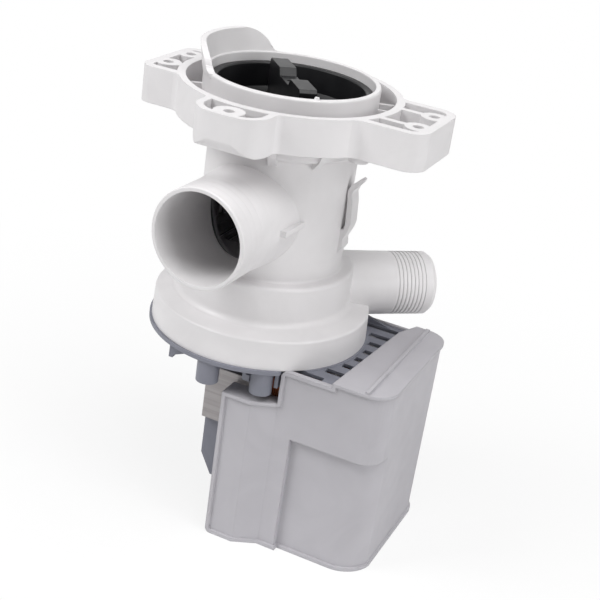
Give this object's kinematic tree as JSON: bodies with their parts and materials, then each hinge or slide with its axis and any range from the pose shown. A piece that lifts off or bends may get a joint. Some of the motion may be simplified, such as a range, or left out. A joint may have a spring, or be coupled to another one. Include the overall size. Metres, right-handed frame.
{
  "type": "washing machine drain pump",
  "caption": "Washing machine drain pump: filter housing with removable lint filter, inlet and outlet spigots, magnet motor on a carrier plate and a drip cover.",
  "frame": {"origin": "centre of the four flange screw holes, in the front face of the mounting flange", "axes": "+Z out of the filter opening along the pump axis, +X towards the closed side of the drip cover, the inlet spigot points to -Y"},
  "size_m": [0.1363, 0.1284, 0.2109],
  "materials": {
    "housing_plastic": "light grey moulded polypropylene",
    "cover_plastic": "grey moulded plastic with a fine satin grain",
    "carrier_plastic": "blue-grey glass filled plastic",
    "filter_plastic": "black moulded plastic, slightly glossy",
    "strainer_plastic": "mid grey moulded plastic",
    "impeller_plastic": "natural white moulded plastic",
    "seal_rubber": "black moulded rubber",
    "shaft_steel": "ground stainless steel",
    "screw_steel": "zinc plated steel",
    "magnet_ferrite": "dark sintered ferrite",
    "bearing_bronze": "sintered bronze",
    "lamination_steel": "stacked sheet steel edges",
    "winding_copper": "enamelled copper wire",
    "tab_brass": "tinned brass"
  },
  "bodies": {
    "pump_body": {"pump_housing": "housing_plastic", "front_bearing": "bearing_bronze", "rear_bearing": "bearing_bronze", "bearing_holder": "impeller_plastic", "shaft_seal": "seal_rubber", "rear_bearing_mount": "seal_rubber", "thrust_washers": "impeller_plastic", "volute_seal": "seal_rubber", "motor_carrier": "carrier_plastic", "stator_core": "lamination_steel", "front_bobbin": "impeller_plastic", "rear_bobbin": "impeller_plastic", "front_winding": "winding_copper", "rear_winding": "winding_copper", "motor_end_cover": "carrier_plastic", "terminal_tabs": "tab_brass", "core_screws": "screw_steel", "housing_screws": "screw_steel", "drip_cover": "cover_plastic"},
    "strainer": {"lint_strainer": "strainer_plastic"},
    "cap": {"filter_cap": "filter_plastic", "filter_seal": "seal_rubber"},
    "rotor": {"rotor_shaft": "shaft_steel", "rotor_magnet": "magnet_ferrite", "rotor_sleeve": "impeller_plastic", "drive_dog": "impeller_plastic"},
    "impeller_wheel": {"impeller": "impeller_plastic", "impeller_bumper": "seal_rubber"}
  },
  "joints": [
    {"name": "strainer_lift", "type": "slide", "parent": "pump_body", "child": "strainer", "axis": [0, 0, 1], "range_m": [0, 0.0025]},
    {"name": "filter_turn", "type": "hinge", "parent": "strainer", "child": "cap", "pos_m": [-0.0048, 0.0035, 0], "axis": [0, 0, 1], "range_deg": [0, 90]},
    {"name": "rotor_spin", "type": "hinge", "parent": "pump_body", "child": "rotor", "pos_m": [-0.0048, 0.0035, 0], "axis": [0, 0, 1], "continuous": true},
    {"name": "impeller_play", "type": "hinge", "parent": "rotor", "child": "impeller_wheel", "pos_m": [-0.0048, 0.0035, 0], "axis": [0, 0, 1], "range_deg": [-261, 0]}
  ],
  "couplings": [
    {"joint": "filter_turn", "follows": "strainer_lift", "rad_per_m": 628.32}
  ]
}
